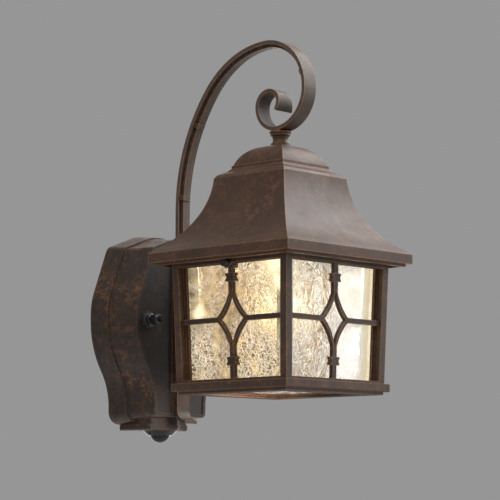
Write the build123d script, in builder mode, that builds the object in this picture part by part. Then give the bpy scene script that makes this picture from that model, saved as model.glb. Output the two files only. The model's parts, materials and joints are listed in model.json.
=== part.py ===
"""Outdoor wall lantern: a square lantern hung from a scrolled flat-bar arm on a cast backplate.

Millimetres. +Z is up, the wall is the plane Y = 0 and the lantern stands out towards -Y.
The origin is the centre of the wall screws, and X = 0 is the plane of symmetry.
"""
import os
from math import acos, cos, degrees, radians, sin, sqrt, tan

from build123d import *

# ---------------------------------------------------------------- driving dimensions
seat = 0.15              # gap between two pieces that are seated on each other
running = 0.05           # radial clearance of a shaft that turns in its bore

# Backplate casting: a cartouche in two tiers
gasket_depth = 1.5
tier_one_depth = 22.0
plate_depth = 51.5
plate_wall = 3.0
middle_half = 70.2       # half width at the widest place
middle_z = 6.0
lower_half = 46.0
foot_z = -91.5
crest_z = 92.0
crest_half = 2.0
crest_radius = 45.0
crest_rake = 20.5        # slope of the crest's sides, in degrees
haunch_rake = 21.0       # lean of the upper flanks from upright, in degrees
flank_height = 6.0
lower_bulge_radius = 88.0
lower_cove_radius = 62.0
upper_bulge_radius = 60.0
foot_radius = 12.0
shoulder_radius = 8.0
corner_fade = 20.0       # inset at which the outline's corners would turn sharp
tier_one_draft = 2.5     # inset of the first tier at its front
ledge_width = 1.5        # step between the tiers
front_side_inset = 12.0
front_end_inset = 7.0
bead_width = 3.0
panel_recess = 1.2
land_reach = 3.0         # raised land past each side of the arm

# Wall fixing
box_pitch = 83.5         # pitch of the two wall-box screws
slot_width = 4.6
slot_length = 12.0
mounting_thickness = 1.6
strip_half = 14.0        # half width of the upright strip
strip_length = 106.0
wing_half = 50.0
wing_height = 34.0
cable_z = 3.0
cable_radius = 4.5
grommet_radius = 8.0
stud_spacing = 84.0
stud_z = 5.5
stud_radius = 2.5
stud_end = 9.0           # stud past the front of the backplate
knob_length = 14.0
knob_radius = 6.0
knob_brim = 2.2
knob_waist_radius = 4.6
terminal_size = (30.0, 14.0, 18.0)
terminal_z = 25.0
terminal_spacing = 9.0
terminal_rows = 10.0     # between its two rows of screws
terminal_hole_radius = 2.2
module_size = (46.0, 22.0, 26.0)
module_z = -24.0

# Scrolled arm, a flat bar bent in the plane X = 0
bar_width = 16.0
bar_thickness = 3.5
lantern_reach = 180.0    # wall to lantern axis
sweep_radius = 178.0
sweep_turn = 38.7
front_radius = 49.0
lower_radius = 37.0
curl_radius = 24.0
curl_top_radius = 16.0
curl_end_radius = 14.5
curl_end_turn = 122.0
tip_turn = 65.0          # part of the last turn over which the tip flares
tip_spread = 3.0         # how much wider the tip grows on each side
toe_radius = 14.0
toe_z = -77.5
bolt_heights = (30.0, -50.0)

# Wire cover on the inside of the arm, its clips and the lead in it
cover_width = 7.0
cover_height = 2.6
cover_wall = 0.7
cover_foot_z = 58.0
cover_end = 246.0        # the arm's heading where the cover stops
entry_z = 64.0           # height of the wire hole in the backplate
entry_radius = 3.0
lead_width = 3.4
lead_thickness = 1.5
clip_headings = (4.0, 27.5, 160.0)
clip_length = 5.0
clip_width = 13.0
clip_thickness = 0.8
clip_screw_radius = 1.4

# Roof: a square bell
eave_z = 61.0
eave_half = 86.0
rim_height = 8.8
roof_wall = 2.6
flare_foot_inset = 4.0   # eave to the foot of the flare
flare_foot_rise = 3.2
flare_run = 42.6         # eave to the top of the flare
flare_top_rise = 70.0
flare_bow = 8.8
shoulder_run = 2.4       # each ledge is measured in from the one below it
shoulder_rise = 73.0
bead_run = 6.2
bead_rise = 76.2
dome_run = 4.1
dome_rise = 81.8
step_width = 1.1         # step at the dome's foot
step_height = 2.6
dome_top_half = 9.4
dome_top_rise = 100.6
dome_bow = 4.1
lip_inset = 4.5
lip_width = 3.2
lip_drop = 2.4

# Neck between roof and arm
neck_height = 11.15
neck_radius = 9.2
neck_waist_radius = 7.0
disc_radius = 10.4
disc_height = 2.3
nipple_radius = 5.0
nipple_bore_radius = 3.2
nut_radius = 8.0
nut_height = 3.0

# Cage
cage_top_z = 57.0
window_top_z = 47.5
window_foot_z = -55.6
sill_z = -58.0
cage_inset = 15.8        # eave to the cage's outer face at the window top
cage_taper = 3.3         # how far each face draws in from the window top to the sill
post_width = 7.4
reveal = 6.8             # depth of the window in front of the inner flange, under post_width
flange_width = 3.6
pane_inset = 9.4         # cage face to the outside of the glass
tab_half = 5.0
tab_drop = 4.5
rail_reach = 3.6         # rail proud of the cage's face at the sill
rail_height = 7.3
rail_lip_inset = 4.3
rail_lip_height = 2.7
rail_width = 15.5        # rail's outer face to the well that holds the bottom glass
ledge_reach = 5.0        # ledge the bottom glass rests on

# Lattice
lattice_inset = 2.6
lattice_thickness = 4.2
bar_face = 4.7
upright_face = 5.0
collar_face = 11.4
collar_height = 7.5
collar_ring = 2.3        # height of the ring at each end of a collar
collar_neck = 1.1        # how far a collar narrows between its rings
collar_offset = 37.4     # from the diamond's middle to each collar
diamond_z = -2.6
diamond_half = 20.0
diamond_rise = 35.0
diamond_hole_half = 14.8
diamond_hole_rise = 29.6
diamond_bow = 4.2

# Glass
glass_thickness = 3.0
glass_top_z = 54.0
notch_half = 4.0
keeper_leg = 9.0
keeper_thickness = 1.0
panel_thickness = 1.2

# Thumbscrews and the strap they thread into
screw_z = 47.6
screw_radius = 2.0
tail_reach = 1.0         # screw's inner end past the strap's leg
head_radius = 4.0
head_length = 6.0
washer_thickness = 0.8
washer_radius = 4.6
strap_thickness = 2.0
strap_width = 14.0
strap_inset = 16.2       # cage's face at the window top to the inside of the strap's leg
strap_bend_z = 84.0
strap_run = 18.0         # how far each leg leans in above its bend
strap_foot_z = 42.0

# Lamp
holder_radius = 16.5
holder_foot_z = 46.0
holder_top_z = 104.7
holder_wall = 4.0
shell_radius = 11.0
shell_length = 27.0
bulb_cap_radius = 8.4
bulb_cap_length = 22.0
bulb_radius = 18.0
bulb_housing_length = 22.0
bulb_length = 66.0

# Sensor under the backplate
sensor_y = -24.0
base_half = 32.5
base_straight = 23.0
base_height = 5.5
base_round = 14.0
base_round_turn = 75.0
base_cove_turn = 25.0
pad_height = 9.2         # flat pad in the casting over the sensor's base
stem_radius = 12.0
ring_radius = 16.2
ring_foot_radius = 11.6
ring_height = 4.4
swivel_nut_radius = 15.0
swivel_nut_height = 3.0
stem_reach = 6.0         # stem inside the casting past its pad
ball_radius = 9.5
ball_z = -99.3
ball_gap = 0.35
trunnion_radius = 1.0
lens_z = -101.6

# ---------------------------------------------------------------- derived places
axis_y = -lantern_reach
flare_top_half = eave_half - flare_run
shoulder_half = flare_top_half - shoulder_run
bead_half = shoulder_half - bead_run
dome_half = bead_half - dome_run
cage_half_top = eave_half - cage_inset
cage_half_sill = cage_half_top - cage_taper
rail_half = cage_half_sill + rail_reach
lip_half = rail_half - rail_lip_inset
well_half = rail_half - rail_width
mouth_half = well_half - ledge_reach
strap_leg = cage_half_top - strap_inset
strap_top_half = strap_leg - strap_run
screw_tail = strap_leg - tail_reach
slope = (cage_half_top - cage_half_sill) / (window_top_z - sill_z)
roof_top_z = eave_z + dome_top_rise
neck_foot_z = roof_top_z + seat
disc_foot_z = neck_foot_z + neck_height + seat
arm_seat_z = disc_foot_z + disc_height + seat
arm_back_y = -plate_depth - seat
arm_top_y = axis_y - lower_radius + front_radius
crown_radius = (arm_back_y - arm_top_y - sweep_radius * (1 - cos(radians(sweep_turn)))) / cos(
    radians(sweep_turn))
arm_top_z = arm_seat_z + lower_radius + front_radius
sweep_z = (arm_top_z - sweep_radius * sin(radians(sweep_turn))
           - crown_radius * (1 - sin(radians(sweep_turn))))
bar_moves = [(sweep_radius, sweep_turn), (crown_radius, 90 - sweep_turn), (front_radius, 90),
             (lower_radius, 90), (curl_radius, 90), (curl_top_radius, 90),
             (curl_end_radius, curl_end_turn)]
stud_places = [(-stud_spacing / 2, stud_z), (stud_spacing / 2, stud_z)]
base_foot_z = foot_z - seat - base_height

os.makedirs("parts", exist_ok=True)


def write(part, name):
    """Labels a finished piece and writes its STEP file."""
    part.label = name
    export_step(part, f"parts/{name}.step")


def wall_plane(depth):
    """Plane parallel to the wall, this far out, drawn in X and Z."""
    return Plane.XZ.offset(depth)


# ---------------------------------------------------------------- backplate
def bulge_turn(wide, narrow, bulge, cove):
    """Angle of the S-curve that steps in from wide to narrow with these two radii."""
    return degrees(acos((narrow + cove - wide + bulge) / (bulge + cove)))


def shoulder_corner(haunch, crest_arc):
    """Point where the upper flank, carried on, would meet the crest's slope, carried on."""
    lean, rake = tan(radians(haunch_rake)), tan(radians(crest_rake))
    fall = crest_arc[1] + crest_arc[0] * rake - haunch.Y
    x = (haunch.X - fall * lean) / (1 - rake * lean)
    return x, crest_arc[1] + (crest_arc[0] - x) * rake


def cartouche(side, end):
    """Closed cartouche, drawn in by side at its flanks and by end at its top and foot."""
    low, mid, foot, crest = lower_half - side, middle_half - side, foot_z + end, crest_z - end
    low_bulge, low_cove = lower_bulge_radius - side, lower_cove_radius + side
    low_turn = bulge_turn(mid, low, low_bulge, low_cove)
    low_cove_z = middle_z - (low_bulge + low_cove) * sin(radians(low_turn))
    foot_corner = foot_radius * (1 - side / corner_fade)
    top_corner = shoulder_radius * (1 - side / corner_fade)
    top_turn = 90 - haunch_rake - crest_rake
    tangent = top_corner * tan(radians(top_turn / 2))
    crest_end = (crest_half + crest_radius * sin(radians(crest_rake)),
                 crest - crest_radius * (1 - cos(radians(crest_rake))))
    with BuildSketch(Plane.XY) as face:
        with BuildLine():
            Line((0, foot), (low - foot_corner, foot))
            JernArc((low - foot_corner, foot), (1, 0), foot_corner, 90)
            Line((low, foot + foot_corner), (low, low_cove_z))
            cove = JernArc((low, low_cove_z), (0, 1), low_cove, -low_turn)
            bulge = JernArc(cove @ 1, cove % 1, low_bulge, low_turn)
            flank = Line(bulge @ 1, (mid, middle_z + flank_height))
            haunch = JernArc(flank @ 1, (0, 1), upper_bulge_radius - side, haunch_rake)
            x, z = shoulder_corner(haunch @ 1, crest_end)
            flank_end = (x + tangent * sin(radians(haunch_rake)),
                         z - tangent * cos(radians(haunch_rake)))
            Line(haunch @ 1, flank_end)
            corner = JernArc(flank_end, haunch % 1, top_corner, top_turn)
            Line(corner @ 1, crest_end)
            crest_arc = JernArc(crest_end, corner % 1, crest_radius, crest_rake)
            Line(crest_arc @ 1, (0, crest))
            mirror(about=Plane.YZ)
        make_face()
    return face.sketch


def tier(near, near_side, near_end, far, far_side, far_end, mode=Mode.ADD):
    """One tier of the casting, from the outline at near to the outline at far."""
    sections = [wall_plane(near) * cartouche(near_side, near_end),
                wall_plane(far) * cartouche(far_side, far_end)]
    loft(sections=sections, ruled=True, mode=mode)


with BuildPart() as wall_gasket:
    with BuildSketch(wall_plane(0)):
        add(cartouche(0.6, 0.6))
        add(cartouche(plate_wall + 0.6, plate_wall + 0.6), mode=Mode.SUBTRACT)
    extrude(amount=gasket_depth - seat)
write(wall_gasket.part, "wall_gasket")

def base_outline(inset):
    """Outline of the sensor's base seen from above: square at the wall, an ogee point in front."""
    tip = base_half - inset - base_round * (1 - cos(radians(base_round_turn)))
    cove = tip / (cos(radians(base_round_turn - base_cove_turn)) - cos(radians(base_round_turn)))
    with BuildSketch(Plane.XY) as outline:
        with BuildLine():
            Line((0, -2), (base_half - inset, -2))
            Line((base_half - inset, -2), (base_half - inset, -base_straight))
            corner = JernArc((base_half - inset, -base_straight), (0, -1), base_round,
                             -base_round_turn)
            JernArc(corner @ 1, corner % 1, cove, base_cove_turn)
            mirror(about=Plane.YZ)
        make_face()
    return outline.sketch


second_inset = tier_one_draft + ledge_width
with BuildPart() as backplate:
    tier(gasket_depth, 0, 0, tier_one_depth, tier_one_draft, tier_one_draft)
    tier(tier_one_depth, second_inset, second_inset, plate_depth, front_side_inset,
         front_end_inset)
    tier(gasket_depth, plate_wall, plate_wall, tier_one_depth - 1,
         tier_one_draft + plate_wall, tier_one_draft + plate_wall, Mode.SUBTRACT)
    tier(tier_one_depth - 1, second_inset + plate_wall, second_inset + plate_wall,
         plate_depth - plate_wall, front_side_inset + plate_wall, front_end_inset + plate_wall,
         Mode.SUBTRACT)
    with BuildSketch(wall_plane(plate_depth)):
        add(cartouche(front_side_inset + bead_width, front_end_inset + bead_width))
        Rectangle(bar_width + 2 * land_reach, 2 * crest_z, mode=Mode.SUBTRACT)
        with Locations(*stud_places):
            Circle(knob_radius + 2, mode=Mode.SUBTRACT)
    extrude(amount=-panel_recess, mode=Mode.SUBTRACT)
    with BuildSketch(wall_plane(plate_depth)):
        with Locations(*stud_places):
            Circle(stud_radius + 0.4)
        with Locations(*[(0, height) for height in bolt_heights]):
            Circle(2.3)
        with Locations((0, entry_z)):
            Circle(entry_radius + 0.6)
    extrude(amount=-2 * plate_wall, mode=Mode.SUBTRACT)
    with BuildSketch(Plane.XY.offset(foot_z)):
        add(base_outline(1.5))
    extrude(amount=pad_height)
    with Locations((0, sensor_y, foot_z)):
        Cylinder(stem_radius + 0.4, 3 * pad_height, mode=Mode.SUBTRACT)
write(backplate.part, "backplate")

# ---------------------------------------------------------------- wall fixing
with BuildPart() as mounting_plate:
    with BuildSketch(wall_plane(0)):
        Rectangle(2 * strip_half, strip_length)
        with Locations((0, stud_z)):
            Rectangle(2 * wing_half, wing_height)
        with Locations((0, box_pitch / 2), (0, -box_pitch / 2)):
            SlotOverall(slot_length, slot_width, rotation=90, mode=Mode.SUBTRACT)
        with Locations(*stud_places):
            Circle(stud_radius + seat, mode=Mode.SUBTRACT)
        with Locations((0, cable_z)):
            Circle(grommet_radius - 1.5, mode=Mode.SUBTRACT)
    extrude(amount=mounting_thickness)
    fillet(mounting_plate.edges().filter_by(Axis.Y).group_by(Axis.Z)[-1], radius=4)
write(mounting_plate.part, "mounting_plate")

with BuildPart() as mounting_studs:
    with BuildSketch(wall_plane(0.2)):
        with Locations(*stud_places):
            Circle(stud_radius)
    extrude(amount=plate_depth + stud_end)
write(mounting_studs.part, "mounting_studs")

with BuildPart() as cap_nut_washers:
    with BuildSketch(wall_plane(plate_depth + seat)):
        with Locations(*stud_places):
            Circle(knob_radius + 0.8)
            Circle(stud_radius + seat, mode=Mode.SUBTRACT)
    extrude(amount=washer_thickness)
write(cap_nut_washers.part, "cap_nut_washers")

knob_seat = plate_depth + washer_thickness + 2 * seat
with BuildPart() as cap_nut:
    with BuildSketch(Plane.XZ):
        with BuildLine():
            Polyline((0, 0), (knob_radius, 0), (knob_radius, knob_brim),
                     (knob_waist_radius, knob_brim + 1.2), (knob_waist_radius, knob_brim + 2.4),
                     (0.86 * knob_radius, knob_length / 2), (0.86 * knob_radius, knob_length - 3),
                     (0.55 * knob_radius, knob_length - 0.6), (0, knob_length), close=True)
        make_face()
    revolve(axis=Axis.Z)
    Cylinder(stud_radius + seat, 19, mode=Mode.SUBTRACT)

with BuildPart() as cap_nuts:
    for place_x, place_z in stud_places:
        add(Location((place_x, -knob_seat, place_z), (90, 0, 0)) * cap_nut.part)
write(cap_nuts.part, "cap_nuts")

with BuildPart() as cable_grommet:
    with BuildSketch(wall_plane(mounting_thickness + seat)):
        with Locations((0, cable_z)):
            Circle(grommet_radius)
    extrude(amount=3)
    with BuildSketch(wall_plane(0.3)):
        with Locations((0, cable_z)):
            Circle(grommet_radius - 1.5 - seat)
    extrude(amount=mounting_thickness + 1)
    with BuildSketch(wall_plane(-1)):
        with Locations((0, cable_z)):
            Circle(cable_radius)
    extrude(amount=8, mode=Mode.SUBTRACT)
write(cable_grommet.part, "cable_grommet")

block_back = mounting_thickness + seat
with BuildPart() as terminal_block:
    with Locations((0, -block_back - terminal_size[1] / 2, terminal_z)):
        Box(*terminal_size)
    chamfer(terminal_block.edges().filter_by(Axis.X), length=1.5)
    with BuildSketch(wall_plane(block_back + terminal_size[1])):
        with Locations((0, terminal_z)):
            with GridLocations(terminal_spacing, terminal_rows, 3, 2):
                Circle(terminal_hole_radius)
    extrude(amount=-4, mode=Mode.SUBTRACT)
write(terminal_block.part, "terminal_block")

with BuildPart() as terminal_screws:
    with BuildSketch(wall_plane(block_back + terminal_size[1] - 4 + seat)):
        with Locations((0, terminal_z)):
            with GridLocations(terminal_spacing, terminal_rows, 3, 2):
                Circle(terminal_hole_radius - 0.2)
    extrude(amount=2.5)
write(terminal_screws.part, "terminal_screws")

with BuildPart() as control_module:
    with Locations((0, -block_back - module_size[1] / 2, module_z)):
        Box(*module_size)
    fillet(control_module.edges().filter_by(Axis.Y), radius=2)
write(control_module.part, "control_module")

# ---------------------------------------------------------------- arm

def arm_point(heading, lift):
    """Point in Y and Z, lift inside the bar's inner face, where the bar has this heading."""
    centre_y, centre_z = arm_back_y - sweep_radius, sweep_z
    turned = 0
    for index, (radius, turn) in enumerate(bar_moves):
        if heading <= turned + turn:
            break
        turned += turn
        step = radius - bar_moves[index + 1][0]
        centre_y += step * cos(radians(turned))
        centre_z += step * sin(radians(turned))
    reach = radius - bar_thickness - lift
    return centre_y + reach * cos(radians(heading)), centre_z + reach * sin(radians(heading))


def flared_tip():
    """Last part of the scroll, where the bar spreads like a fishtail."""
    start = sum(turn for radius, turn in bar_moves) - tip_turn
    along = (-sin(radians(start)), cos(radians(start)))
    with BuildSketch(Plane.XY) as band:
        with BuildLine():
            outer = JernArc(arm_point(start, -bar_thickness), along, curl_end_radius, tip_turn)
            inner = JernArc(arm_point(start, 0), along, curl_end_radius - bar_thickness, tip_turn)
            Line(outer @ 0, inner @ 0)
            Line(outer @ 1, inner @ 1)
        make_face()
    top, foot, half = (outer @ 0).Y, (outer @ 1).Y, bar_width / 2
    with BuildSketch(Plane.XY) as front:
        Polygon((-half, top), (-half - tip_spread, foot), (half + tip_spread, foot), (half, top),
                align=None)
    run = extrude(Plane.YZ * band.sketch, amount=bar_width, both=True, mode=Mode.PRIVATE)
    spread = extrude(wall_plane(0) * front.sketch, amount=2 * lantern_reach, mode=Mode.PRIVATE)
    return run & spread


with BuildPart() as arm:
    with BuildSketch(Plane.YZ):
        with BuildLine():
            outer = JernArc((arm_back_y - toe_radius, toe_z - toe_radius), (1, 0), toe_radius, 90)
            outer = Line(outer @ 1, (arm_back_y, sweep_z))
            for radius, turn in bar_moves:
                outer = JernArc(outer @ 1, outer % 1, radius, turn)
            inner = JernArc((arm_back_y - toe_radius, toe_z - toe_radius + bar_thickness), (1, 0),
                            toe_radius - bar_thickness, 90)
            Line((arm_back_y - toe_radius, toe_z - toe_radius), inner @ 0)
            inner = Line(inner @ 1, (arm_back_y - bar_thickness, sweep_z))
            for radius, turn in bar_moves:
                inner = JernArc(inner @ 1, inner % 1, radius - bar_thickness, turn)
            Line(outer @ 1, inner @ 1)
        make_face()
    extrude(amount=bar_width / 2, both=True)
    add(flared_tip())
    with BuildSketch(wall_plane(plate_depth)):
        with Locations((0, entry_z)):
            Circle(entry_radius)
    extrude(amount=2 * bar_thickness, mode=Mode.SUBTRACT)
    with BuildSketch(wall_plane(plate_depth)):
        with Locations(*[(0, height) for height in bolt_heights]):
            Circle(2.0 + seat)
    extrude(amount=bar_thickness - 0.8, mode=Mode.SUBTRACT)
    with Locations((0, axis_y, arm_seat_z + bar_thickness / 2)):
        Cylinder(nipple_radius + seat, 2 * bar_thickness, mode=Mode.SUBTRACT)
write(arm.part, "arm")

with BuildPart() as arm_bolts:
    with BuildSketch(wall_plane(plate_depth - plate_wall - seat)):
        with Locations(*[(0, height) for height in bolt_heights]):
            RegularPolygon(4.2, 6)
    extrude(amount=-3)
    with BuildSketch(wall_plane(plate_depth - plate_wall - 1)):
        with Locations(*[(0, height) for height in bolt_heights]):
            Circle(2.0)
    extrude(amount=plate_wall + bar_thickness - 0.2)
write(arm_bolts.part, "arm_bolts")


def arm_plane(heading, lift):
    """Plane on the bar's inner face, its normal pointing away from the bar."""
    point_y, point_z = arm_point(heading, lift)
    inward = (0, -cos(radians(heading)), -sin(radians(heading)))
    return Plane((0, point_y, point_z), x_dir=(1, 0, 0), z_dir=inward)


def arm_band(low, high, start_z, end_heading):
    """Band that follows the bar's inner face, from a height on the leg to a heading."""
    with BuildSketch(Plane.XY) as band:
        with BuildLine():
            ends = []
            for lift in (low, high):
                y = arm_back_y - bar_thickness - lift
                edge = Line((y, start_z), (y, sweep_z))
                first = edge @ 0
                turned = 0
                for radius, turn in bar_moves:
                    left = min(turn, end_heading - turned)
                    if left > 0:
                        edge = JernArc(edge @ 1, edge % 1, radius - bar_thickness - lift, left)
                    turned += turn
                ends.append((first, edge @ 1))
            Line(ends[0][0], ends[1][0])
            Line(ends[0][1], ends[1][1])
        make_face()
    return Plane.YZ * band.sketch


with BuildPart() as wire_cover:
    extrude(to_extrude=arm_band(seat, cover_height, cover_foot_z, cover_end),
            amount=cover_width / 2, both=True)
    extrude(to_extrude=arm_band(0, cover_height - cover_wall, cover_foot_z + 1, cover_end + 1),
            amount=cover_width / 2 - cover_wall, both=True, mode=Mode.SUBTRACT)
write(wire_cover.part, "wire_cover")

with BuildPart() as cover_clips:
    for heading in clip_headings:
        with BuildSketch(arm_plane(heading, seat)):
            Rectangle(clip_width, clip_length)
        extrude(amount=cover_height + clip_thickness)
        with BuildSketch(arm_plane(heading, seat + clip_thickness)):
            with Locations((clip_width / 2, 0), (-clip_width / 2, 0)):
                Rectangle(clip_width - cover_width - 2 * clip_thickness - 0.6, clip_length + 1)
        extrude(amount=cover_height, mode=Mode.SUBTRACT)
        with BuildSketch(arm_plane(heading, 0)):
            Rectangle(cover_width + 0.6, clip_length + 1)
        extrude(amount=cover_height + seat, mode=Mode.SUBTRACT)
write(cover_clips.part, "cover_clips")

wire_lift = seat + 0.1
entry_y = arm_back_y - bar_thickness - wire_lift - lead_thickness / 2
terminal_top = terminal_z + terminal_size[2] / 2 + seat + lead_thickness / 2
nipple_top = arm_seat_z + bar_thickness
lead_runs = [[(entry_y, entry_z), (-9, entry_z)], [(-9, entry_z), (-9, terminal_top)],
             [arm_point(270, wire_lift + lead_thickness / 2), (axis_y, holder_top_z - 2)]]
with BuildPart() as lantern_lead:
    extrude(to_extrude=arm_band(wire_lift, wire_lift + lead_thickness,
                                entry_z - lead_thickness / 2, 270), amount=lead_width / 2,
            both=True)
    with BuildSketch(Plane.YZ):
        for points in lead_runs:
            with BuildSketch(Plane.XY, mode=Mode.PRIVATE) as run:
                with Locations(*points):
                    Circle(lead_thickness / 2 + 0.05)
                make_hull()
            add(run.sketch)
    extrude(amount=lead_width / 2, both=True)
write(lantern_lead.part, "lantern_lead")

# ---------------------------------------------------------------- neck and roof
roof_inner_top = roof_top_z - roof_wall
with BuildPart() as nipple:
    with BuildSketch(Plane.XY.offset(holder_top_z - holder_wall - nut_height - 1)):
        with Locations((0, axis_y)):
            Circle(nipple_radius)
            Circle(nipple_bore_radius, mode=Mode.SUBTRACT)
    extrude(amount=nipple_top - holder_top_z + holder_wall + nut_height + 1)
write(nipple.part, "nipple")

strap_seat_z = holder_top_z + seat
nut_seats = [holder_top_z - holder_wall - seat - nut_height,
             strap_seat_z + strap_thickness + seat,
             roof_inner_top - seat - nut_height]
with BuildPart() as nipple_nuts:
    for nut_seat in nut_seats:
        with BuildSketch(Plane.XY.offset(nut_seat)):
            with Locations((0, axis_y)):
                RegularPolygon(nut_radius, 6)
                Circle(nipple_radius + 0.1, mode=Mode.SUBTRACT)
        extrude(amount=nut_height)
write(nipple_nuts.part, "nipple_nuts")

axis_plane = Plane((0, axis_y, 0), x_dir=(1, 0, 0), z_dir=(0, -1, 0))
lantern_axis = Axis((0, axis_y, 0), (0, 0, 1))
with BuildPart() as neck_disc:
    with Locations((0, axis_y, disc_foot_z + disc_height / 2)):
        Cylinder(disc_radius, disc_height)
    chamfer(neck_disc.edges().filter_by(GeomType.CIRCLE), length=0.7)
    with Locations((0, axis_y, disc_foot_z + disc_height / 2)):
        Hole(nipple_radius + seat)
write(neck_disc.part, "neck_disc")

with BuildPart() as neck:
    with BuildSketch(axis_plane):
        with BuildLine():
            rim = 1.6
            top = neck_foot_z + neck_height
            Line((nipple_radius + seat, neck_foot_z), (neck_radius, neck_foot_z))
            Polyline((neck_radius, neck_foot_z), (neck_radius, neck_foot_z + rim),
                     (neck_waist_radius + 0.5, neck_foot_z + 2 * rim),
                     (neck_waist_radius, neck_foot_z + neck_height / 2),
                     (neck_waist_radius + 0.5, top - 2 * rim), (neck_radius, top - rim),
                     (neck_radius, top))
            Line((neck_radius, top), (nipple_radius + seat, top))
            Line((nipple_radius + seat, top), (nipple_radius + seat, neck_foot_z))
        make_face()
    revolve(axis=lantern_axis)
write(neck.part, "neck")


def bell_profile(wall, foot):
    """Closed profile of the bell roof, drawn in by the wall, in half side and height."""
    sunk = 0.9 * wall
    flare_foot = (eave_half - flare_foot_inset - wall / 2, eave_z + flare_foot_rise - sunk)
    flare_top = (flare_top_half - wall, eave_z + flare_top_rise - wall / 4)
    bead = (bead_half - wall, eave_z + bead_rise - sunk)
    dome_foot = (dome_half - wall, eave_z + dome_rise - sunk)
    step_top = (dome_half + step_width - wall, eave_z + dome_rise - sunk)
    step_foot = (dome_half + step_width - wall, eave_z + dome_rise - step_height - sunk)
    dome_top = (dome_top_half, roof_top_z - wall)
    with BuildSketch(Plane.XY) as profile:
        with BuildLine():
            Line((0, foot), (eave_half - wall, foot))
            Line((eave_half - wall, foot), (eave_half - wall, eave_z - sunk))
            Line((eave_half - wall, eave_z - sunk), flare_foot)
            SagittaArc(flare_foot, flare_top, flare_bow)
            Line(flare_top, (shoulder_half - wall, eave_z + shoulder_rise - sunk))
            Line((shoulder_half - wall, eave_z + shoulder_rise - sunk), bead)
            Polyline(bead, step_foot, step_top, dome_foot)
            SagittaArc(dome_foot, dome_top, -dome_bow)
            Line(dome_top, (0, roof_top_z - wall))
            mirror(about=Plane.YZ)
        make_face()
    return profile.sketch


def bell(wall, foot, mode):
    """Square bell: the profile run through from front to back, cut by the same from the sides."""
    across = Plane((0, axis_y, 0), x_dir=(1, 0, 0), z_dir=(0, -1, 0))
    along = Plane((0, axis_y, 0), x_dir=(0, 1, 0), z_dir=(1, 0, 0))
    profile = bell_profile(wall, foot)
    run = extrude(across * profile, amount=eave_half, both=True, mode=Mode.PRIVATE)
    other = extrude(along * profile, amount=eave_half, both=True, mode=Mode.PRIVATE)
    add(run & other, mode=mode)


def square(half, low, high, mode=Mode.ADD):
    """Square block on the lantern's axis between two heights."""
    with Locations((0, axis_y, (low + high) / 2)):
        Box(2 * half, 2 * half, high - low, mode=mode)


rim_foot_z = eave_z - rim_height
lip_half_out = eave_half - lip_inset
with BuildPart() as roof:
    bell(0, rim_foot_z, Mode.ADD)
    bell(roof_wall, rim_foot_z - 1, Mode.SUBTRACT)
    square(eave_half - 1, rim_foot_z, rim_foot_z + 2)
    square(lip_half_out, rim_foot_z - lip_drop, rim_foot_z + 1)
    square(lip_half_out - lip_width, rim_foot_z - lip_drop - 1, rim_foot_z + 3, Mode.SUBTRACT)
    with Locations((0, axis_y, roof_top_z)):
        Cylinder(nipple_radius + seat, 4 * roof_wall, mode=Mode.SUBTRACT)
write(roof.part, "roof")

# ---------------------------------------------------------------- strap, holder and lamp
with BuildPart() as hanger_strap:
    with BuildSketch(axis_plane):
        with BuildLine():
            leg_face = strap_leg + strap_thickness
            bend_top = strap_seat_z + strap_thickness
            Polyline((-leg_face, strap_foot_z), (-leg_face, strap_bend_z),
                     (-strap_top_half, bend_top), (strap_top_half, bend_top),
                     (leg_face, strap_bend_z), (leg_face, strap_foot_z),
                     (strap_leg, strap_foot_z), (strap_leg, strap_bend_z - 0.6),
                     (strap_top_half - 0.8, strap_seat_z), (0.8 - strap_top_half, strap_seat_z),
                     (-strap_leg, strap_bend_z - 0.6), (-strap_leg, strap_foot_z), close=True)
        make_face()
    extrude(amount=strap_width / 2, both=True)
    with Locations((0, axis_y, strap_seat_z)):
        Cylinder(nipple_radius + seat, 8, mode=Mode.SUBTRACT)
    with Locations(Location((0, axis_y, screw_z), (0, 90, 0))):
        Cylinder(screw_radius + running, 3 * strap_leg, mode=Mode.SUBTRACT)
write(hanger_strap.part, "hanger_strap")


def turned(points, hollow=Mode.ADD):
    """Solid turned about the lantern's axis from a closed outline of radius and height."""
    with BuildSketch(axis_plane) as outline:
        with BuildLine():
            Polyline(*points, close=True)
        make_face()
    revolve(profiles=outline.sketch, axis=lantern_axis, mode=hollow)


with BuildPart() as lamp_holder:
    turned([(0, holder_foot_z), (holder_radius, holder_foot_z), (holder_radius, holder_top_z - 5),
            (holder_radius - 4, holder_top_z), (0, holder_top_z)])
    turned([(0, holder_foot_z), (shell_radius + 0.4, holder_foot_z),
            (shell_radius + 0.4, holder_top_z - holder_wall), (0, holder_top_z - holder_wall)],
           Mode.SUBTRACT)
    with Locations((0, axis_y, holder_top_z)):
        Cylinder(nipple_radius + seat, 3 * holder_wall, mode=Mode.SUBTRACT)
write(lamp_holder.part, "lamp_holder")

shell_foot_z = holder_foot_z + 2
with BuildPart() as holder_shell:
    turned([(bulb_cap_radius + running, shell_foot_z), (shell_radius + 0.2, shell_foot_z),
            (shell_radius + 0.2, shell_foot_z + shell_length),
            (4, shell_foot_z + shell_length), (4, shell_foot_z + shell_length - 1.2),
            (bulb_cap_radius + running, shell_foot_z + shell_length - 1.2)])
write(holder_shell.part, "holder_shell")

bulb_top_z = holder_foot_z - 0.5
cap_top_z = bulb_top_z + bulb_cap_length
with BuildPart() as bulb_cap:
    turned([(0, bulb_top_z), (bulb_cap_radius, bulb_top_z), (bulb_cap_radius, cap_top_z - 3),
            (bulb_cap_radius / 2, cap_top_z), (0, cap_top_z)])
write(bulb_cap.part, "bulb_cap")

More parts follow.
